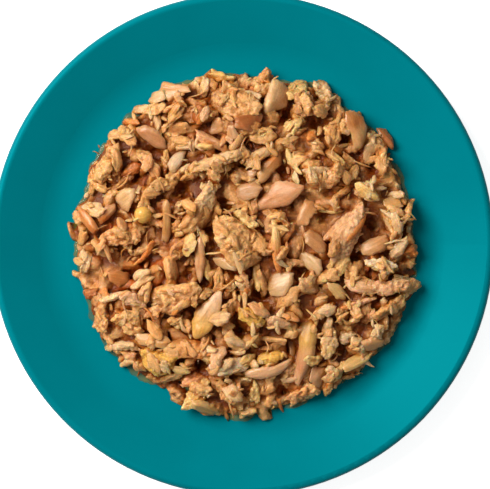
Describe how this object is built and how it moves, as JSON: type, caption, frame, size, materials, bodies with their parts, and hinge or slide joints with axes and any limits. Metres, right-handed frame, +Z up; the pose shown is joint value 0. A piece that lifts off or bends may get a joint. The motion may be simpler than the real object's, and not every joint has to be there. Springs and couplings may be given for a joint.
{
  "type": "plate of flaked cat food",
  "caption": "Round glazed rim plate on a foot ring, with a low heap of flaked wet cat food filling its well.",
  "frame": {"origin": "on the table under the plate's centre, at the foot ring's lower face", "axes": "+Z up out of the plate; +X to the viewer's right and +Y away from the viewer when the plate is seen from above"},
  "size_m": [0.16, 0.16, 0.023],
  "materials": {
    "glaze": "glossy teal glaze",
    "flakes": "moist flaked fish, tan to orange-brown"
  },
  "bodies": {
    "root": {"plate": "glaze", "food_heap": "flakes"}
  },
  "joints": []
}
